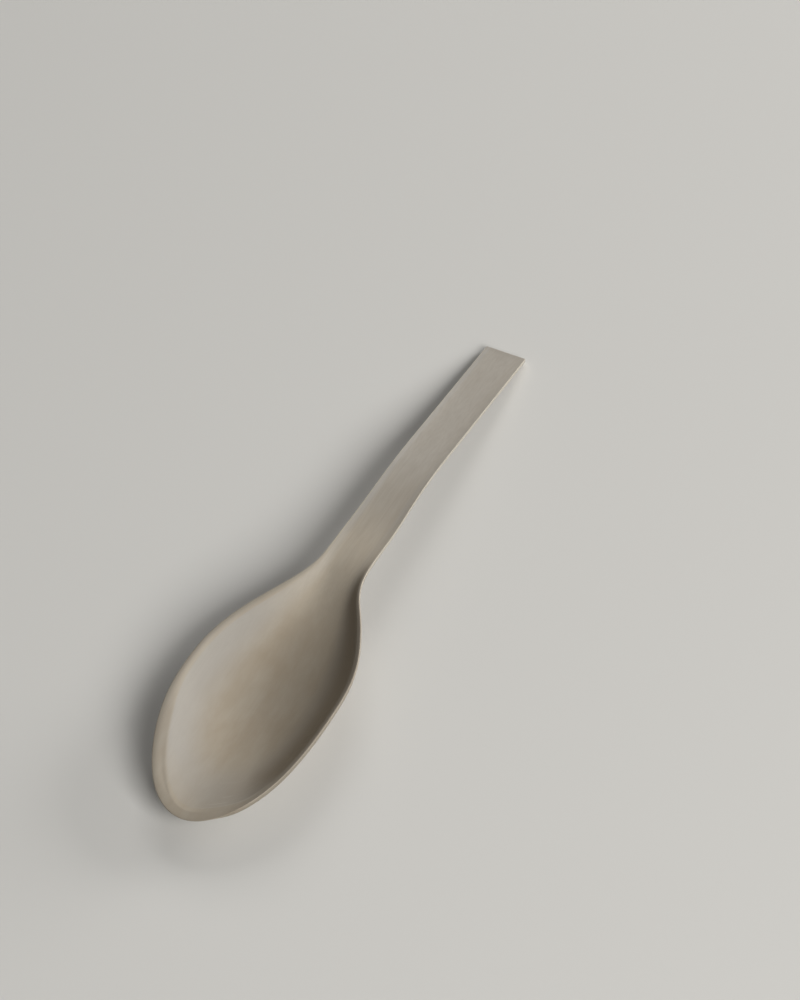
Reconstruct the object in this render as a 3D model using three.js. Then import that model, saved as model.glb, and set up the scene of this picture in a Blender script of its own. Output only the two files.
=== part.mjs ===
import * as THREE from 'three';
import { mergeVertices } from 'three/addons/utils/BufferGeometryUtils.js';

// A table spoon made of one sheet of silver, lying on a table with its bowl up.
// Millimetres, +Z up. The origin is on the small flat under the bowl's widest place, and +X runs from
// there to the handle end, so the bowl's front half has a negative X.

// Driving sizes in plan
const bowlFront = 44.4; // from the widest place to the tip
const bowlWidth = 44.4;
const neckX = 50;
const handleEnd = 155;
const shoulderFullness = 1.28; // over 1 carries the bowl's width further towards the neck
const neckWidth = 13.8;
const handleWidth = 12.5;
const handleTaper = 38; // the handle reaches its width this far past the neck
const endCorner = 0.8; // corner radius of the handle end

// The rim is filed level and its outer edge to a round. Widths of the ledge outside the bowl's crest.
const tipLedge = 3;
const rimLedge = 1.6;
const handleLedge = 0.45;
const ledgeFade = 15; // the ledge starts to narrow this far before the neck
const levelShare = 0.4; // share of the ledge that stays level

// Driving sizes in height
const bowlDepth = 12.2; // rim to inside floor, at the widest place
const frontFullness = 2; // 2 is a parabola, and more is a flatter floor with steeper walls
const backFullness = 2.2;
const fullnessChange = 40; // along the spoon, half of it on each side of the widest place
const floorPast = 3; // behind the widest place the floor rises until this far past the neck
const tipDrop = 6.1; // the rim at the tip is this much lower than at the widest place
const tipDropLead = 9.5; // and starts to fall this far in front of it
const neckDrop = 1.6; // the handle leaves the neck this much lower than the rim
const neckDropLead = 10; // and starts to fall this far before the neck
const neckDropLength = 30;
const neckTrough = 2.6; // the hollow that the bowl runs out into at the neck
const troughLead = 17; // it starts to fade this far before the neck
const troughPast = 7; // and is gone this far past it
const handleDish = 0.45; // the handle's edges stand this much above its middle
const dishFullness = 4;
const underPast = 2; // the underside follows the hollow until this far past the neck
const underLength = 25; // and turns flat over this length
const endLip = 2.5; // the dish stops this far from the handle end
const bendFromEnd = 66; // middle of the handle's bend to the handle end
const bendLength = 24;

// Driving thicknesses
const sheet = 1.9; // handle, and rim at the bowl's sides
const tipSheet = 2.4;
const floorSheet = 1.6;
const restCut = 0.2; // planed off under the bowl for the flat that it rests on

// How finely the surface is divided
const frontSteps = 18;
const backSteps = 16;
const handleSteps = 20;
const cornerSteps = 3;
const columns = 12; // from the middle to the crest

const bowlHalf = bowlWidth / 2;
const rimHeight = floorSheet - restCut + bowlDepth;
const handleHeight = rimHeight - neckDrop;
const troughStart = neckX - troughLead;
const troughEnd = neckX + troughPast;
const underStart = neckX + underPast;
const bendStart = handleEnd - bendFromEnd - bendLength / 2;
const endHeight = sheet * Math.cos(Math.atan2(handleHeight - sheet, bendFromEnd));
const handleFall = (handleHeight - endHeight) / bendFromEnd;
const smallStep = 0.01; // for slopes

// 0 before the start, 1 after the end, and an even S between them
function ease(value, start, end) {
  const share = Math.min(1, Math.max(0, (value - start) / (end - start)));
  return share * share * (3 - 2 * share);
}

function mix(from, to, share) {
  return from + (to - from) * share;
}

// Half of the spoon's width in plan, behind the widest place
function outlineHalf(x) {
  const share = Math.min(1, Math.max(0, x / neckX));
  const shoulder = mix(bowlHalf, neckWidth / 2, ease(share ** shoulderFullness, 0, 1));
  return shoulder - (neckWidth - handleWidth) / 2 * ease(x, neckX, neckX + handleTaper);
}

function ledgeWidth(x) {
  const bowl = mix(tipLedge, rimLedge, ease(x, -bowlFront, 0));
  return mix(bowl, handleLedge, ease(x, neckX - ledgeFade, neckX + handleTaper));
}

// Height of the edge line: over the rim, down to the tip and along the handle
function edgeHeight(x) {
  const tipShare = Math.min(0, x + tipDropLead) / (bowlFront - tipDropLead);
  const pastBend = Math.max(0, x - bendStart);
  const inBend = Math.min(pastBend, bendLength);
  const bent = handleFall * (inBend * inBend / (2 * bendLength) + pastBend - inBend);
  const neckDropStart = neckX - neckDropLead;
  const drop = neckDrop * ease(x, neckDropStart, neckDropStart + neckDropLength);
  return rimHeight - tipDrop * tipShare * tipShare - drop - bent;
}

// Downwards and square to the edge line: plumb in the bowl's front half, leaning on the handle
function downFrom(x) {
  const slope = x > 0 ? (edgeHeight(x + smallStep) - edgeHeight(x - smallStep)) / (2 * smallStep) : 0;
  return new THREE.Vector3(slope, 0, -1).normalize();
}

// How deep the middle of the top face lies under the edge line
function hollow(x) {
  const bowl = (bowlDepth - neckTrough) * (1 - ease(x, 0, neckX + floorPast));
  const trough = (neckTrough - handleDish) * (1 - ease(x, troughStart, troughEnd));
  return bowl + trough + handleDish * (1 - ease(x, handleEnd - endLip, handleEnd));
}

// The rim is thickest at the tip, and the bowl thins towards its floor
function thickness(x, depth) {
  const forward = Math.min(0, x) / bowlFront;
  return mix(mix(sheet, tipSheet, forward * forward), floorSheet, depth / bowlDepth);
}

// A point of one half of the spoon. The share goes from the middle, 0, to the crest of the rim, 1; the
// ledge goes on from there to the outline, 1; and the layer goes from the top face, 0, to the underside, 1.
function sheetPoint({ edge, out }, share, ledge, layer) {
  const width = ledgeWidth(edge.x);
  const middle = new THREE.Vector3(Math.max(0, edge.x), 0, 0);
  const crest = edge.clone().addScaledVector(out, -width);
  const point = middle.clone().lerp(crest, share);
  const reach = crest.clone().sub(middle).dot(out);

  const flat = ease(point.x, underStart, underStart + underLength);
  const inBowl = mix(frontFullness, backFullness, ease(point.x, -fullnessChange / 2, fullnessChange / 2));
  const fullness = mix(inBowl, dishFullness, ease(point.x, troughStart, troughEnd));
  const depth = hollow(point.x) * (1 - share ** fullness);
  const slope = (1 - flat) * hollow(point.x) * fullness * share ** (fullness - 1) / reach;
  const length = Math.hypot(1, slope);
  const through = thickness(point.x, depth) * layer;
  const down = downFrom(point.x);
  point.z = edgeHeight(point.x);
  point.addScaledVector(down, depth * (1 - flat * layer) + through / length);
  point.addScaledVector(out, width * mix(ledge, share * flat, layer) + through * slope / length);
  point.z = Math.max(0, point.z);
  return point;
}

// Places on the outline, each with the way out from there, square to the outline
function stations() {
  const list = [];
  for (let i = 0; i < frontSteps; i += 1) {
    const across = Math.sin(i / frontSteps * Math.PI / 2);
    const along = Math.cos(i / frontSteps * Math.PI / 2);
    const edge = new THREE.Vector3(-bowlFront * along, bowlHalf * across, 0);
    list.push({ edge, out: new THREE.Vector3(-bowlHalf * along, bowlFront * across, 0).normalize() });
  }
  const add = (x, cornerCut) => {
    const half = outlineHalf(x);
    const out = new THREE.Vector3(half - outlineHalf(x + smallStep), smallStep, 0).normalize();
    list.push({ edge: new THREE.Vector3(x, half - cornerCut, 0), out });
  };
  for (let i = 0; i < backSteps; i += 1) {
    add(i / backSteps * neckX, 0);
  }
  for (let i = 0; i < handleSteps; i += 1) {
    add(mix(neckX, handleEnd - endLip, i / handleSteps), 0);
  }
  add(handleEnd - endLip, 0);
  add(handleEnd - (endLip + endCorner) / 2, 0);
  for (let i = 0; i <= cornerSteps; i += 1) {
    const angle = i / cornerSteps * Math.PI / 2;
    add(handleEnd - endCorner * (1 - Math.sin(angle)), endCorner * (1 - Math.cos(angle)));
  }
  return list;
}

// Place of a column between the middle and the crest, closer together near the crest
function columnShare(column) {
  const even = column / columns;
  return mix(even, Math.sin(even * Math.PI / 2), 0.5);
}

// Cuts each corner of a line at a quarter of the way along both its sides
function cutCorners(line) {
  const cut = [line[0]];
  for (let i = 1; i + 1 < line.length; i += 1) {
    cut.push(line[i].clone().lerp(line[i - 1], 0.25), line[i].clone().lerp(line[i + 1], 0.25));
  }
  return [...cut, line[line.length - 1]];
}

// Half of a section as a row of points: the top face, the rim's rounded nose and the underside
function sectionRow(station) {
  const row = [];
  for (let j = 0; j <= columns; j += 1) {
    row.push(sheetPoint(station, columnShare(j), 0, 0));
  }
  const nose = [[1, levelShare, 0], [1, 1, 0], [1, 1, 0.5], [1, 1, 1], [columnShare(columns - 1), 1, 1]];
  row.push(...cutCorners(nose.map((place) => sheetPoint(station, ...place))));
  for (let j = columns - 2; j >= 0; j -= 1) {
    row.push(sheetPoint(station, columnShare(j), 1, 1));
  }
  return row;
}

// One closed body: rows of points on the left half and the right half, and a cap on the handle end
function spoonGeometry() {
  const positions = [];
  const triangle = (...corners) => positions.push(...corners.flatMap((corner) => corner.toArray()));
  const quad = (a, b, c, d) => {
    triangle(a, b, c);
    triangle(a, c, d);
  };
  const left = stations().map(sectionRow);
  const right = left.map((row) => row.map((point) => new THREE.Vector3(point.x, -point.y, point.z)));
  const last = left[0].length - 1;
  for (let i = 0; i + 1 < left.length; i += 1) {
    for (let j = 0; j < last; j += 1) {
      quad(left[i][j], left[i + 1][j], left[i + 1][j + 1], left[i][j + 1]);
      quad(right[i][j + 1], right[i + 1][j + 1], right[i + 1][j], right[i][j]);
    }
  }
  const leftEnd = left[left.length - 1];
  const rightEnd = right[right.length - 1];
  for (let j = 0; j < (last - 1) / 2; j += 1) {
    quad(leftEnd[j], leftEnd[last - j], leftEnd[last - j - 1], leftEnd[j + 1]);
    quad(rightEnd[j + 1], rightEnd[last - j - 1], rightEnd[last - j], rightEnd[j]);
  }

  // Points in the same place become one, and a triangle between two of them is left out
  const soup = new THREE.BufferGeometry();
  soup.setAttribute('position', new THREE.Float32BufferAttribute(positions, 3));
  const geometry = mergeVertices(soup, 0.001);
  const index = [];
  for (let i = 0; i < geometry.index.count; i += 3) {
    const corners = [0, 1, 2].map((k) => geometry.index.getX(i + k));
    if (new Set(corners).size === 3) {
      index.push(...corners);
    }
  }
  geometry.setIndex(index);
  geometry.computeVertexNormals();
  return geometry;
}

const silver = new THREE.MeshStandardMaterial({ color: 0x9a9284, roughness: 0.5, metalness: 1 });

const part = new THREE.Group();
const spoon = new THREE.Mesh(spoonGeometry(), silver);
spoon.name = 'spoon';
part.add(spoon);

export default part;
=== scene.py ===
"""A satin silver table spoon with a long egg-shaped bowl, lying bowl up on a pale table."""
import math
from typing import NamedTuple

import bmesh
import bpy
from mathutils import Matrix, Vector


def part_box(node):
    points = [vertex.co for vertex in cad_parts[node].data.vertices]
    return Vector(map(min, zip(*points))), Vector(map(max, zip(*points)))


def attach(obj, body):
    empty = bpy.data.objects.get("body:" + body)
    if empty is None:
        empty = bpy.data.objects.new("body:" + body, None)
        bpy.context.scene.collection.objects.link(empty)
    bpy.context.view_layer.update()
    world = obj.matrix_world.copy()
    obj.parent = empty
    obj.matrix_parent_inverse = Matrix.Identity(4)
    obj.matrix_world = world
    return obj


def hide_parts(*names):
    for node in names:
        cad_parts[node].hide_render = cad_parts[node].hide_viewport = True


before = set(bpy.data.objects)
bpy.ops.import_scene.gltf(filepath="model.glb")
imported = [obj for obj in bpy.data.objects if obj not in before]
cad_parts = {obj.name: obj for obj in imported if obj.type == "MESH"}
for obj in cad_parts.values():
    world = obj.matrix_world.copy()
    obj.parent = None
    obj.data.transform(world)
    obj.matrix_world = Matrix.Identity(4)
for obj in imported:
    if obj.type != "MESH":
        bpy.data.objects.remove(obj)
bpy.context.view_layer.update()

SPOON_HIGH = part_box("spoon")[1]

MM = 0.001

# Plan of the blank in millimetres. X is 0 at the bowl's widest place and grows towards the handle.
HANDLE_END = SPOON_HIGH.x / MM
BOWL_HALF = SPOON_HIGH.y / MM
BOWL_FRONT = 44.4
NECK = 50.0
SHOULDER_FULLNESS = 1.28  # over 1 carries the bowl's width further towards the neck
NECK_HALF = 6.9
HANDLE_HALF = 6.25
HANDLE_TAPER = 38.0  # the handle reaches its width this far past the neck
UNDER_START = NECK + 2.0  # the underside follows the top face until here
UNDER_END = UNDER_START + 25.0  # and is flat from here on

# The rim is filed to a ledge, which is widest at the tip and narrows to the handle's between two places
TIP_LEDGE = 3.0
HANDLE_LEDGE = 0.12
HANDLE_FADE = (30.0, 66.0)
TIP_CREST = TIP_LEDGE - BOWL_FRONT

# The ledge's crest is filed to a soft round along the bowl, and is crisp at the tip and on the handle
SOFT_ROUND = 1.1
CRISP_ROUND = 0.3

# The handle's lower edges are rounded: how far they are set in, and from which share of the underside
UNDER_ROUND = 0.45
UNDER_ROUND_FROM = 0.9

# The file works on the top of the edge only, down to this share of its thickness
FILED_LAYERS = 0.5


class HandWork(NamedTuple):
    """What saw and file left on one side of the spoon. Lengths and places are in millimetres."""
    ledge: float  # width of the ledge along the bowl's side
    ledge_fade: tuple  # it narrows from the tip's between these places
    soft_fade: tuple  # its crest turns from crisp to soft between these
    off_side: float  # filed off along the bowl's outline
    off_edge: float  # filed off the height of the outer edge
    off_crest: float  # filed off the height of the crest, as a share of the ledge's width
    wander: float  # how far the saw's line wanders to and fro on the bowl
    wander_length: float  # distance between the tops of its waves
    wander_top: float  # place of one top
    spread: float  # how much further out than drawn the handle's side stands
    nip: float  # how far the side is drawn in at the neck


# The two sides: 1 is the left one and -1 the right one. Both turn soft from the same place, the crest
# at the tip, so that they meet there.
HANDS = {
    1: HandWork(
        ledge=1.6, ledge_fade=(-24.0, -2.0), soft_fade=(TIP_CREST, -35.0),
        off_side=0.12, off_edge=0.3, off_crest=0.25,
        wander=0.15, wander_length=45.0, wander_top=-11.0,
        spread=-0.1, nip=0.0,
    ),
    -1: HandWork(
        ledge=0.6, ledge_fade=(-44.0, -33.0), soft_fade=(TIP_CREST, -33.0),
        off_side=0.2, off_edge=0.0, off_crest=0.5,
        wander=0.45, wander_length=52.8, wander_top=-27.0,
        spread=0.35, nip=0.25,
    ),
}

# Where the hand work starts and stops along the spoon
WANDER_START = -0.6 * BOWL_FRONT
WANDER_STOP = 0.6 * NECK
OFF_SIDE_START = 3.0 - BOWL_FRONT
SPREAD_END = NECK + 20.0
NIP_PLACE = 40.0
NIP_SWELLS = 20.0  # distance from the nip to the swells beside it

# Heights and thicknesses in millimetres
RIM_HEIGHT = SPOON_HIGH.z / MM
SHEET = 1.9
HANDLE_HEIGHT = RIM_HEIGHT - 1.6
TIP_DROP_LEAD = 9.5
BEND_FROM_END = 66.0
BEND_LENGTH = 24.0
END_HEIGHT = SHEET * math.cos(math.atan2(HANDLE_HEIGHT - SHEET, BEND_FROM_END))

# The handle's dish gets shallower before the end, and a lip along the end edge stops it, between
# these distances from the end
DISH_FADE_START = 34.0
DISH_FADE_END = 6.0
LIP_START = 1.8
LIP_END = 0.5

# What the forming tree takes: lengths in millimetres, and plain shares
FORMING_LENGTHS = {
    "Rim height": RIM_HEIGHT,
    "Tip drop": 6.1,
    "Tip drop lead": TIP_DROP_LEAD,
    "Tip drop run": BOWL_FRONT - TIP_DROP_LEAD,
    "Neck drop": RIM_HEIGHT - HANDLE_HEIGHT,
    "Neck drop start": NECK - 10.0,
    "Neck drop end": NECK + 20.0,
    "Bend start": HANDLE_END - BEND_FROM_END - BEND_LENGTH / 2,
    "Bend length": BEND_LENGTH,
    "Bowl depth": 12.2,
    "Floor rise end": NECK + 3.0,
    "Neck trough": 2.6,
    "Trough start": NECK - 17.0,
    "Trough end": NECK + 7.0,
    "Under start": UNDER_START,
    "Under end": UNDER_END,
    "Handle dish": 0.45,
    "End dish": 0.15,
    "Dish fade start": HANDLE_END - DISH_FADE_START,
    "Dish fade end": HANDLE_END - DISH_FADE_END,
    "Lip start": HANDLE_END - LIP_START,
    "Lip end": HANDLE_END - LIP_END,
    "Fullness change": 20.0,
    "Sheet": SHEET,
    "Tip sheet": 2.4,
    "Floor sheet": 1.6,
    "Wave depth": 0.15,
    "Wave length": 45.0,
    "Dent depth": 0.05,
    "Dent width": 9.0,
}
FORMING_SHARES = {
    "Handle fall": (HANDLE_HEIGHT - END_HEIGHT) / BEND_FROM_END,
    "Front fullness": 2.0,
    "Back fullness": 2.2,
    "Dish fullness": 4.0,
    "Seed": 4.0,
}

# How the blank is divided: stations round the bowl's front, behind it and along the handle, and one
# more just before the end, which keeps the end's edge crisp
FRONT_STATIONS = 14
BACK_STATIONS = 15
HANDLE_STATIONS = 20
END_SUPPORT = 0.3
TURN_STEP = 0.001  # for the outline's direction
SMOOTHING_ROUNDS = 2

# One half of a section: share of the way to the ledge, share of the ledge, depth through the sheet
FACE_SHARES = (0.0, 0.16, 0.32, 0.47, 0.6, 0.72, 0.82, 0.88, 0.94, 1.0)
UNDER_SHARES = (1.0, 0.97, 0.93, 0.88, 0.82, 0.74, 0.65, 0.55, 0.44, 0.3, 0.15, 0.0)
SECTION = (
    [(share, 0.0, 0.0) for share in FACE_SHARES]
    + [(1.0, 0.5, 0.0), (1.0, 1.0, 0.0), (1.0, 1.0, 0.15), (1.0, 1.0, 0.6)]
    + [(share, 1.0, 1.0) for share in UNDER_SHARES]
)

# The same on the cap of the handle end: shares of the end's width, of its ledge, and of its depth
CAP_WIDTH = 0.93
CAP_LEDGE = 0.2
CAP_TOP = 0.25
CAP_BOTTOM = 0.75

# What is marked on the blank's points. Places and directions: the section's points on the keel and
# on the crest, and the way out. Numbers: the share of the way to the crest, how far past it the point
# lies, the ledge's width, what is filed off the height, the depth through the sheet, and the wear.
PLACE_MARKS = ("keel", "crest", "out")
NUMBER_MARKS = ("share", "ledge", "width", "filed", "layer", "wear")
MARKS = PLACE_MARKS + NUMBER_MARKS

# Steps of the forming, each a result, an operation and its terms. LINEAR and SMOOTHSTEP take a value,
# where it starts and ends, and what it gives at the start and at the end.
FORMING_STEPS = (
    # Height of the edge line: it drops to the tip and at the neck, and falls after the handle's bend
    ("past lead", "ADD", "x", "Tip drop lead"),
    ("front", "MINIMUM", "past lead", 0.0),
    ("front share", "DIVIDE", "front", "Tip drop run"),
    ("front square", "MULTIPLY", "front share", "front share"),
    ("tip fall", "MULTIPLY", "front square", "Tip drop"),
    ("neck fall", "SMOOTHSTEP", "x", "Neck drop start", "Neck drop end", 0.0, "Neck drop"),
    ("from bend", "SUBTRACT", "x", "Bend start"),
    ("past bend", "MAXIMUM", "from bend", 0.0),
    ("in bend", "MINIMUM", "past bend", "Bend length"),
    ("bend share", "DIVIDE", "in bend", "Bend length"),
    ("bend part", "MULTIPLY", "in bend", "bend share"),
    ("half bend", "MULTIPLY", "bend part", 0.5),
    ("straight", "SUBTRACT", "past bend", "in bend"),
    ("bent", "ADD", "half bend", "straight"),
    ("handle drop", "MULTIPLY", "bent", "Handle fall"),
    ("edge 1", "SUBTRACT", "Rim height", "tip fall"),
    ("edge 2", "SUBTRACT", "edge 1", "neck fall"),
    ("edge", "SUBTRACT", "edge 2", "handle drop"),
    ("tilt", "MULTIPLY", "bend share", "Handle fall"),
    ("tilt back", "MULTIPLY", "tilt", -1.0),
    # Depth of the top face under the edge line
    ("bowl only", "SUBTRACT", "Bowl depth", "Neck trough"),
    ("bowl part", "SMOOTHSTEP", "x", 0.0, "Floor rise end", "bowl only", 0.0),
    ("dish", "SMOOTHSTEP", "x", "Dish fade start", "Dish fade end", "Handle dish", "End dish"),
    ("trough part", "SMOOTHSTEP", "x", "Trough start", "Trough end", "Neck trough", "dish"),
    ("lip part", "SMOOTHSTEP", "x", "Lip start", "Lip end", 0.0, "dish"),
    ("hollow 1", "ADD", "bowl part", "trough part"),
    ("hollow", "SUBTRACT", "hollow 1", "lip part"),
    ("change start", "MULTIPLY", "Fullness change", -1.0),
    ("bowl full", "SMOOTHSTEP", "x", "change start", "Fullness change", "Front fullness", "Back fullness"),
    ("fullness", "SMOOTHSTEP", "x", "Trough start", "Trough end", "bowl full", "Dish fullness"),
    ("rise", "POWER", "share", "fullness"),
    ("sunk", "SUBTRACT", 1.0, "rise"),
    ("depth", "MULTIPLY", "hollow", "sunk"),
    # Slope of the top face outwards, which the underside follows in the bowl and not in the handle
    ("less full", "SUBTRACT", "fullness", 1.0),
    ("steepening", "POWER", "share", "less full"),
    ("steepest", "MULTIPLY", "hollow", "fullness"),
    ("climb", "MULTIPLY", "steepest", "steepening"),
    ("slope", "DIVIDE", "climb", "reach"),
    ("curved", "SMOOTHSTEP", "x", "Under start", "Under end", 1.0, 0.0),
    ("bowl slope", "MULTIPLY", "slope", "curved"),
    ("slope square", "MULTIPLY", "bowl slope", "bowl slope"),
    ("length square", "ADD", "slope square", 1.0),
    ("stand", "INVERSE_SQRT", "length square"),
    ("lean", "MULTIPLY", "bowl slope", "stand"),
    # Thickness: more at the tip, and less on the bowl's floor
    ("tip more", "SUBTRACT", "Tip sheet", "Sheet"),
    ("tip part", "MULTIPLY", "front square", "tip more"),
    ("rim sheet", "ADD", "Sheet", "tip part"),
    ("sunk share", "DIVIDE", "depth", "Bowl depth"),
    ("thinning", "SUBTRACT", "Floor sheet", "rim sheet"),
    ("thinned", "MULTIPLY", "thinning", "sunk share"),
    ("wall", "ADD", "rim sheet", "thinned"),
    ("through", "MULTIPLY", "wall", "layer"),
    # How far each point goes outwards, but not past the outline
    ("out by", "MULTIPLY", "lean", "through"),
    ("short by", "MULTIPLY", "share", "reach"),
    ("to crest", "SUBTRACT", "reach", "short by"),
    ("to outline", "ADD", "to crest", "width"),
    ("out within", "MINIMUM", "out by", "to outline"),
    ("all out", "ADD", "out within", "ledge"),
    # And how far down from the edge line
    ("down by", "MULTIPLY", "stand", "through"),
    ("flat", "SUBTRACT", 1.0, "curved"),
    ("flat under", "MULTIPLY", "flat", "layer"),
    ("dished", "SUBTRACT", 1.0, "flat under"),
    ("face depth", "MULTIPLY", "depth", "dished"),
    ("formed down", "ADD", "down by", "face depth"),
    ("all down", "ADD", "formed down", "filed"),
    # Noise scales of the hammer's marks
    ("Wave scale", "DIVIDE", 1.0, "Wave length"),
    ("Dent scale", "DIVIDE", 1.0, "Dent width"),
)

# Length along the spoon and width across it of the material's patterns, in millimetres. Real brush
# lines are finer, and these are as fine as shows.
TARNISH_PATCH = (11.0, 4.0)
BRUSH_LINE = (14.0, 0.5)
BRUSH_DEPTH = 0.1
BRUSH_STRENGTH = 0.1
TOOL_LINE_LENGTH = 9.0
TOOL_LINES = 45.0  # between the keel and the crest
NOISE_MIDDLE = 0.5

# Steps of the metal's surface, written like the forming's. Masks go from 0 to 1.
SURFACE_STEPS = (
    # Thin tarnish in patches, which dulls the shine
    ("thinner tarnish", "LINEAR", "tarnish noise", 0.3, 0.7, 0.0, 1.0),
    ("roughness", "LINEAR", "tarnish noise", 0.3, 0.7, 0.81, 0.79),
    # The bowl's wall and the handle are tinted cooler than the bowl's floor: painted cool light, for the
    # cooler light that falls on them
    ("wall rising", "SMOOTHSTEP", "share", 0.42, 0.87, 0.0, 1.0),
    ("wall to rim", "SMOOTHSTEP", "share", 0.955, 0.985, 1.0, 0.35),
    ("wall", "MULTIPLY", "wall rising", "wall to rim"),
    ("past tip", "LINEAR", "x", -42 * MM, -25 * MM, 0.3, 1.0),
    ("wall cool light", "MULTIPLY", "wall", "past tip"),
    ("handle cool light", "LINEAR", "x", 30 * MM, 95 * MM, 0.0, 0.8),
    ("painted cool light", "MAXIMUM", "wall cool light", "handle cool light"),
    # The neck is a little lighter in colour
    ("neck from bowl", "SMOOTHSTEP", "x", 18 * MM, 39 * MM, 0.0, 0.5),
    ("neck to handle", "SMOOTHSTEP", "x", 51 * MM, 78 * MM, 1.0, 0.0),
    ("lighter neck", "MULTIPLY", "neck from bowl", "neck to handle"),
    # A band of painted shade under the right rim: a darker colour, and a smoother finish
    ("right side", "LINEAR", "y", -1 * MM, -7 * MM, 0.0, 1.0),
    ("right wall", "MULTIPLY", "wall", "right side"),
    ("from tip", "LINEAR", "x", -38 * MM, -22 * MM, 0.0, 1.0),
    ("to handle", "LINEAR", "x", 45 * MM, 70 * MM, 1.0, 0.4),
    ("between them", "MULTIPLY", "from tip", "to handle"),
    ("painted shade under rim", "MULTIPLY", "right wall", "between them"),
    # A few light lines that a tool left inside the tip, on the right and along the rim
    ("tool line", "LINEAR", "tool noise", 0.6, 0.75, 0.0, 1.0),
    ("inside tip", "LINEAR", "x", -24 * MM, -31 * MM, 0.0, 0.3),
    ("tip wall", "MULTIPLY", "right wall", "inside tip"),
    ("scored", "MULTIPLY", "tool line", "tip wall"),
    # Brush lines are a little lighter or darker than the metal, and they show more on the handle
    ("off middle", "SUBTRACT", "brush noise", NOISE_MIDDLE),
    ("line depth", "LINEAR", "x", 30 * MM, 60 * MM, 0.06, 0.2),
    ("line shade", "MULTIPLY_ADD", "off middle", "line depth", 1.0),
)

# Colour of the tarnished metal, then what changes it and its roughness: masks, each with what shows
# there. Worn edges are burnished, so they are lighter and smoother.
TARNISHED = "B2A796"
TONES = (
    ("thinner tarnish", "B7AE9F"),
    # Painted cool light on the bowl's wall and the handle
    ("painted cool light", "B3AEA6"),
    # A lighter colour on the neck
    ("lighter neck", "C1B8A9"),
    # Painted shade under the right rim
    ("painted shade under rim", "9C9283"),
    ("scored", "CBC4B8"),
    ("wear", "D0CABE"),
)
# The band of painted shade under the right rim is also smoother
SHINES = (("painted shade under rim", 0.6), ("wear", 0.65))

# The camera, read from the spoon's outline in the photograph: metres, but lens and sensor in millimetres
SPOON_TURN = math.radians(63.87)
CAMERA_RISE = math.radians(46.57)
CAMERA_DISTANCE = 0.8005
LOOK_AT = Vector((0.08779, 0.0023, 0.0))
LENS = 100.8
SENSOR = 36.0
VIEW_END = 20.0

# Square soft boxes: the way to each as the camera sees it, right, away and up, and its power in watts
SOFT_BOXES = {
    "key_light": ((0.41, -0.71, 0.57), 38.0),
    "side_light": ((0.85, 0.49, 0.22), 32.0),
    "back_light": ((0.0, 0.82, 0.57), 14.0),
}

# Metres from the spoon to a box, a box's side and half of the table's, and how bright the room itself is
BOX_DISTANCE = 2.0
BOX_SIZE = 1.0
TABLE_HALF = 4.0
ROOM_LIGHT = 0.03


def ease(value, start, end):
    """0 before the start, 1 after the end, and an even S between them."""
    share = min(1.0, max(0.0, (value - start) / (end - start)))
    return share * share * (3 - 2 * share)


def mix(first, second, share):
    return first + (second - first) * share


def outline_half(x):
    """Half of the spoon's width in plan, behind the widest place."""
    share = min(1.0, max(0.0, x / NECK))
    shoulder = mix(BOWL_HALF, NECK_HALF, ease(share ** SHOULDER_FULLNESS, 0, 1))
    return shoulder - (NECK_HALF - HANDLE_HALF) * ease(x, NECK, NECK + HANDLE_TAPER)


def outline(turn, side):
    """Outline in plan: 0 at the tip, 1 at the widest place and 2 at the handle end."""
    hand = HANDS[side]
    if turn < 1:
        angle = turn * math.pi / 2
        x, y = -BOWL_FRONT * math.cos(angle), BOWL_HALF * math.sin(angle)
    else:
        x = (turn - 1) * HANDLE_END
        y = outline_half(x)
    on_bowl = 1 - ease(x, WANDER_STOP, NECK)
    wave = math.cos(2 * math.pi * (x - hand.wander_top) / hand.wander_length)
    wander = hand.wander * wave * (ease(x, -BOWL_FRONT, WANDER_START) * on_bowl)
    filed = hand.off_side * (ease(x, -BOWL_FRONT, OFF_SIDE_START) * on_bowl)
    spread = hand.spread * ease(x, NECK, SPREAD_END)
    away = abs(x - NIP_PLACE)
    nip = hand.nip * math.cos(2 * math.pi * away / NIP_SWELLS) * (1 - ease(away, 0, NIP_SWELLS))
    return Vector((x, y + wander - filed + (spread - nip), 0))


def ledge_width(x, side):
    bowl = mix(TIP_LEDGE, HANDS[side].ledge, ease(x, *HANDS[side].ledge_fade))
    return mix(bowl, HANDLE_LEDGE, ease(x, *HANDLE_FADE))


def stations(side):
    """For each section: its points on the keel and on the crest, the way out and the ledge's width."""
    lip = HANDLE_END - LIP_START
    back = [i / BACK_STATIONS * NECK for i in range(BACK_STATIONS)]
    back += [mix(NECK, lip, i / HANDLE_STATIONS) for i in range(HANDLE_STATIONS + 1)]
    back += [HANDLE_END - away for away in ((LIP_START + LIP_END) / 2, LIP_END, END_SUPPORT, 0.0)]
    turns = [i / FRONT_STATIONS for i in range(FRONT_STATIONS)]
    turns += [1 + x / HANDLE_END for x in back]
    for turn in turns:
        edge = outline(turn, side)
        step = outline(min(2.0, turn + TURN_STEP), side) - outline(max(0.0, turn - TURN_STEP), side)
        out = Vector((-step.y, step.x, 0)).normalized() if turn > 0 else Vector((-1, 0, 0))
        width = ledge_width(edge.x, side)
        yield Vector((max(0.0, edge.x), 0, 0)), edge - out * width, out, width


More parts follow.
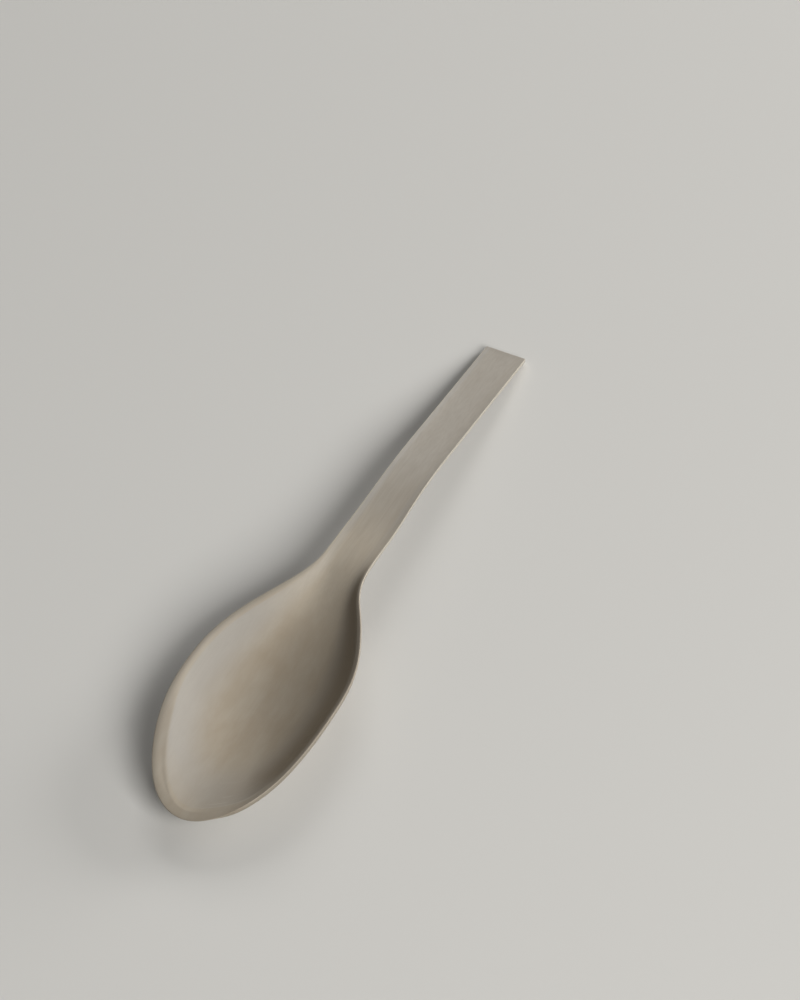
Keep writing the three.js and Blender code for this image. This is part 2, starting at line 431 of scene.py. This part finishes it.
def section_points(station, side, section):
    """The points of one half of a section, each with its marks."""
    hand = HANDS[side]
    width = station[3]
    keel, crest, out = (Vector((v.x, v.y * side, 0)) for v in station[:3])
    flat = ease(crest.x, UNDER_START, UNDER_END)
    on_handle = ease(crest.x, *HANDLE_FADE)
    crisp = max(1 - ease(crest.x, *hand.soft_fade), on_handle)
    rounding = mix(SOFT_ROUND, CRISP_ROUND, crisp) / (crest - keel).length
    for share, ledge, layer in section:
        # How close the points beside the crest are decides how sharp it stays in the smoothing
        if layer == 0 and share == FACE_SHARES[-2]:
            share = 1 - rounding
        if layer == 0 and share == 1 and 0 < ledge < 1:
            ledge = min(ledge, mix(ledge, CRISP_ROUND / width, crisp))
        # Filing fades from the crest outwards, and from the outer edge inwards
        filed = 0.0
        if share == 1 and layer < FILED_LAYERS:
            filed = hand.off_crest * width * (1 - ledge) ** 2
            filed += hand.off_edge * ledge ** 3
            filed *= 1 - crisp
        reach = width * mix(ledge, share * flat, layer)
        if layer == 1 and share > UNDER_ROUND_FROM:
            reach -= UNDER_ROUND * on_handle
        yield keel.lerp(crest, share) + out * reach, {
            "keel": keel * MM,
            "crest": crest * MM,
            "out": out,
            "share": share,
            "ledge": reach * MM,
            "width": width * MM,
            "filed": filed * MM,
            "layer": layer,
            "wear": ledge * on_handle if share == 1 and layer < 1 else 0.0,
        }


def cut_blank():
    """The flat blank, folded double, with what the forming tree needs marked on its points."""
    points, faces, shared = [], [], {}
    marks = {name: [] for name in MARKS}

    def add_row(station, side, section):
        row = []
        for point, marked in section_points(station, side, section):
            place = (round(point.x, 3), round(point.y, 3), marked["layer"])
            if place not in shared:
                shared[place] = len(points)
                points.append(point * MM)
                for name in MARKS:
                    marks[name].append(marked[name])
            row.append(shared[place])
        return row

    def add_face(*corners):
        apart = list(dict.fromkeys(corners))
        if len(apart) > 2:
            faces.append(apart)

    cap = [
        (share * CAP_WIDTH, share * ledge * CAP_LEDGE, mix(CAP_TOP, CAP_BOTTOM, layer))
        for share, ledge, layer in SECTION
    ]
    last = len(SECTION) - 1
    for side in HANDS:
        places = list(stations(side))
        rows = [add_row(station, side, SECTION) for station in places]
        rows.append(add_row(places[-1], side, cap))
        for here, after in zip(rows, rows[1:]):
            for j in range(last):
                add_face(*(here[j], after[j], after[j + 1], here[j + 1])[::side])
        end = rows[-1]
        for j in range(last // 2):
            add_face(*(end[j], end[last - j], end[last - j - 1], end[j + 1])[::side])
    blank = bpy.data.meshes.new("spoon_blank")
    blank.from_pydata(points, [], faces)
    for name in PLACE_MARKS:
        mark = blank.attributes.new(name, "FLOAT_VECTOR", "POINT")
        mark.data.foreach_set("vector", [number for value in marks[name] for number in value])
    for name in NUMBER_MARKS:
        mark = blank.attributes.new(name, "FLOAT", "POINT")
        mark.data.foreach_set("value", marks[name])
    return blank


def add_node(tree, kind, inputs=(), **settings):
    """Add a node. Inputs, by name or in order, are plain values, outputs, or nodes for their first one."""
    node = tree.nodes.new(kind)
    for name, value in settings.items():
        setattr(node, name, value)
    sockets = [socket for socket in node.inputs if socket.enabled]
    if isinstance(inputs, dict):
        sockets = [node.inputs[name] for name in inputs]
        inputs = inputs.values()
    for socket, value in zip(sockets, inputs):
        if isinstance(value, bpy.types.Node):
            value = next(output for output in value.outputs if output.enabled)
        if isinstance(value, bpy.types.NodeSocket):
            tree.links.new(value, socket)
        else:
            socket.default_value = value
    return node


def add_steps(tree, steps, values):
    """Add a node for each step, and its result to the values, which later steps can take."""
    for result, operation, *terms in steps:
        terms = [values.get(term, term) for term in terms]
        if operation in ("LINEAR", "SMOOTHSTEP"):
            values[result] = add_node(tree, "ShaderNodeMapRange", terms, interpolation_type=operation)
        else:
            values[result] = add_node(tree, "ShaderNodeMath", terms, operation=operation)


def hammered(tree, formed, values):
    """Slow waves that the hammer left, and small dents from planishing and filing."""
    middle = (NOISE_MIDDLE, NOISE_MIDDLE, NOISE_MIDDLE)
    spot = add_node(tree, "GeometryNodeInputPosition")
    normal = add_node(tree, "GeometryNodeInputNormal")
    waves = add_node(
        tree, "ShaderNodeTexNoise",
        {"Vector": spot, "W": values["Seed"], "Scale": values["Wave scale"], "Detail": 0.0},
        noise_dimensions="4D",
    ).outputs["Color"]
    centred = add_node(tree, "ShaderNodeVectorMath", (waves, middle), operation="SUBTRACT")
    drift = add_node(tree, "ShaderNodeVectorMath", (centred, values["Wave depth"]), operation="SCALE")
    dents = add_node(
        tree, "ShaderNodeTexNoise",
        {"Vector": spot, "W": values["Seed"], "Scale": values["Dent scale"], "Detail": 1.0},
        noise_dimensions="4D",
    )
    level = add_node(tree, "ShaderNodeMath", (dents, NOISE_MIDDLE), operation="SUBTRACT")
    dent = add_node(tree, "ShaderNodeMath", (level, values["Dent depth"]), operation="MULTIPLY")
    push = add_node(tree, "ShaderNodeVectorMath", (normal, dent), operation="SCALE")
    both = add_node(tree, "ShaderNodeVectorMath", (drift, push), operation="ADD")
    return add_node(tree, "GeometryNodeSetPosition", {"Geometry": formed, "Offset": both})


def forming_tree(material):
    """Geometry Nodes that sink the bowl, bend the handle and leave the marks of hammer and file."""
    tree = bpy.data.node_groups.new("spoon_forming", "GeometryNodeTree")
    tree.is_modifier = True
    tree.interface.new_socket("Geometry", in_out="INPUT", socket_type="NodeSocketGeometry")
    names = [*FORMING_LENGTHS, *FORMING_SHARES]
    for name in names:
        tree.interface.new_socket(name, in_out="INPUT", socket_type="NodeSocketFloat")
    tree.interface.new_socket("Geometry", in_out="OUTPUT", socket_type="NodeSocketGeometry")
    given = add_node(tree, "NodeGroupInput").outputs
    values = {name: given[name] for name in names}
    for name in MARKS:
        kind = "FLOAT_VECTOR" if name in PLACE_MARKS else "FLOAT"
        values[name] = add_node(tree, "GeometryNodeInputNamedAttribute", {"Name": name}, data_type=kind)

    # Where each point lies in plan, between the keel and the crest of the rim
    keel, crest, out = (values[name] for name in PLACE_MARKS)
    span = add_node(tree, "ShaderNodeVectorMath", (crest, keel), operation="SUBTRACT")
    plan = add_node(
        tree, "ShaderNodeVectorMath", (span, values["share"], keel), operation="MULTIPLY_ADD"
    )
    place = add_node(tree, "ShaderNodeSeparateXYZ", (plan,)).outputs
    values["x"] = place["X"]
    values["reach"] = add_node(tree, "ShaderNodeVectorMath", (span, out), operation="DOT_PRODUCT")
    add_steps(tree, FORMING_STEPS, values)

    # Put together: the plan and the edge's height, then down and out, square to the edge line
    raised = add_node(tree, "ShaderNodeCombineXYZ", (place["X"], place["Y"], values["edge"]))
    plumb = add_node(tree, "ShaderNodeCombineXYZ", (values["tilt back"], 0.0, -1.0))
    down = add_node(tree, "ShaderNodeVectorMath", (plumb,), operation="NORMALIZE")
    lowered = add_node(
        tree, "ShaderNodeVectorMath", (down, values["all down"], raised), operation="MULTIPLY_ADD"
    )
    widened = add_node(
        tree, "ShaderNodeVectorMath", (out, values["all out"], lowered), operation="MULTIPLY_ADD"
    )

    # The table holds up what would lie under it. A metre stands for no limit in plan.
    on_table = add_node(tree, "ShaderNodeVectorMath", (widened, (-1.0, -1.0, 0.0)), operation="MAXIMUM")
    formed = add_node(
        tree, "GeometryNodeSetPosition", {"Geometry": given["Geometry"], "Position": on_table}
    )
    real = add_node(tree, "GeometryNodeRealizeInstances", (hammered(tree, formed, values),))
    dressed = add_node(tree, "GeometryNodeSetMaterial", {"Geometry": real, "Material": material})
    add_node(tree, "NodeGroupOutput", {"Geometry": dressed})
    return tree


def formed_spoon(material):
    """The blank, formed and smoothed, as a plain mesh object."""
    blank = bpy.data.objects.new("spoon_blank", cut_blank())
    bpy.context.collection.objects.link(blank)
    forming = blank.modifiers.new("forming", "NODES")
    forming.node_group = forming_tree(material)
    sizes = {name: length * MM for name, length in FORMING_LENGTHS.items()} | FORMING_SHARES
    for item in forming.node_group.interface.items_tree:
        if item.in_out == "INPUT" and item.name in sizes:
            forming[item.identifier] = sizes[item.name]
    smoothing = blank.modifiers.new("smoothing", "SUBSURF")
    smoothing.levels = SMOOTHING_ROUNDS
    smoothing.render_levels = SMOOTHING_ROUNDS
    bpy.context.view_layer.update()
    evaluated = blank.evaluated_get(bpy.context.evaluated_depsgraph_get())
    mesh = bpy.data.meshes.new_from_object(evaluated)
    bpy.data.objects.remove(blank)
    for polygon in mesh.polygons:
        polygon.use_smooth = True
    spoon = bpy.data.objects.new("silver_spoon", mesh)
    bpy.context.collection.objects.link(spoon)
    return spoon


def linear(code):
    """An sRGB hex colour as Blender's linear one."""
    channels = [int(code[i:i + 2], 16) / 255 for i in (0, 2, 4)]
    return (*[c / 12.92 if c <= 0.04045 else ((c + 0.055) / 1.055) ** 2.4 for c in channels], 1.0)


def drawn_out_noise(tree, place, length, width):
    """Noise with spots that long along the spoon and that wide across it, in millimetres."""
    scale = (1 / (length * MM), 1 / (width * MM), 1 / (width * MM))
    spots = add_node(tree, "ShaderNodeMapping", {"Vector": place, "Scale": scale})
    return add_node(tree, "ShaderNodeTexNoise", {"Vector": spots, "Scale": 1.0, "Detail": 3.0})


def rim_noise(tree, values):
    """Noise in narrow lines along the rim."""
    across = add_node(tree, "ShaderNodeMath", (values["share"], TOOL_LINES), operation="MULTIPLY")
    along = add_node(tree, "ShaderNodeMath", (values["y"], TOOL_LINE_LENGTH * MM), operation="DIVIDE")
    spots = add_node(tree, "ShaderNodeCombineXYZ", (across, along))
    return add_node(tree, "ShaderNodeTexNoise", {"Vector": spots, "Scale": 1.0, "Detail": 0.0})


def satin_silver():
    """Sterling silver, planished and finished with fine abrasive: warm grey, with a soft broad shine."""
    material = bpy.data.materials.new("satin_silver")
    material.use_nodes = True
    tree = material.node_tree
    place = add_node(tree, "ShaderNodeTexCoord").outputs["Object"]
    parts = add_node(tree, "ShaderNodeSeparateXYZ", (place,)).outputs
    values = {"x": parts["X"], "y": parts["Y"]}
    for name in ("share", "wear"):
        values[name] = add_node(tree, "ShaderNodeAttribute", attribute_name=name).outputs["Fac"]
    values["tarnish noise"] = drawn_out_noise(tree, place, *TARNISH_PATCH)
    values["brush noise"] = drawn_out_noise(tree, place, *BRUSH_LINE)
    values["tool noise"] = rim_noise(tree, values)
    add_steps(tree, SURFACE_STEPS, values)

    colour = linear(TARNISHED)
    for mask, code in TONES:
        colour = add_node(tree, "ShaderNodeMix", (values[mask], colour, linear(code)), data_type="RGBA")
    brushed = add_node(tree, "ShaderNodeVectorMath", (colour, values["line shade"]), operation="SCALE")
    roughness = values["roughness"]
    for mask, level in SHINES:
        roughness = add_node(tree, "ShaderNodeMix", (values[mask], roughness, level))
    bump = add_node(
        tree, "ShaderNodeBump",
        {"Height": values["brush noise"], "Strength": BRUSH_STRENGTH, "Distance": BRUSH_DEPTH * MM},
    )

    shader = tree.nodes["Principled BSDF"]
    shader.inputs["Metallic"].default_value = 1.0
    tree.links.new(brushed.outputs["Vector"], shader.inputs["Base Color"])
    tree.links.new(roughness.outputs[0], shader.inputs["Roughness"])
    tree.links.new(bump.outputs["Normal"], shader.inputs["Normal"])
    return material


def table_top():
    """A matt pale table, which is not part of the spoon."""
    mesh = bmesh.new()
    bmesh.ops.create_grid(mesh, x_segments=1, y_segments=1, size=TABLE_HALF)
    data = bpy.data.meshes.new("table_top")
    mesh.to_mesh(data)
    mesh.free()
    table = bpy.data.objects.new("table_top", data)
    bpy.context.collection.objects.link(table)
    material = bpy.data.materials.new("pale_paint")
    material.use_nodes = True
    shader = material.node_tree.nodes["Principled BSDF"]
    shader.inputs["Base Color"].default_value = linear("CFCDC8")
    shader.inputs["Roughness"].default_value = 0.9
    shader.inputs["Specular IOR Level"].default_value = 0.1
    data.materials.append(material)
    return table


def across_view(right, away, up):
    """A direction given as seen by the camera, in the spoon's frame."""
    to_right = Vector((math.cos(SPOON_TURN), -math.sin(SPOON_TURN), 0))
    to_away = Vector((math.sin(SPOON_TURN), math.cos(SPOON_TURN), 0))
    return to_right * right + to_away * away + Vector((0, 0, up))


def photo_camera():
    data = bpy.data.cameras.new("photo_camera")
    data.lens = LENS
    data.sensor_width = SENSOR
    data.clip_end = VIEW_END
    camera = bpy.data.objects.new("photo_camera", data)
    bpy.context.collection.objects.link(camera)
    towards = across_view(0, -math.cos(CAMERA_RISE), math.sin(CAMERA_RISE))
    camera.location = LOOK_AT + towards * CAMERA_DISTANCE
    camera.rotation_euler = (-towards).to_track_quat("-Z", "Y").to_euler()
    bpy.context.scene.camera = camera


def studio_light():
    world = bpy.data.worlds.new("studio")
    bpy.context.scene.world = world
    world.use_nodes = True
    background = world.node_tree.nodes["Background"]
    background.inputs["Color"].default_value = linear("FFFFFF")
    background.inputs["Strength"].default_value = ROOM_LIGHT
    for name, (direction, power) in SOFT_BOXES.items():
        data = bpy.data.lights.new(name, "AREA")
        data.size = BOX_SIZE
        data.energy = power
        lamp = bpy.data.objects.new(name, data)
        bpy.context.collection.objects.link(lamp)
        towards = across_view(*direction)
        lamp.location = LOOK_AT + towards.normalized() * BOX_DISTANCE
        lamp.rotation_euler = (-towards).to_track_quat("-Z", "Y").to_euler()


photo_camera()
studio_light()
table_top()

spoon = formed_spoon(satin_silver())
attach(spoon, "root")
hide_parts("spoon")

bpy.context.scene.view_settings.view_transform = "Standard"
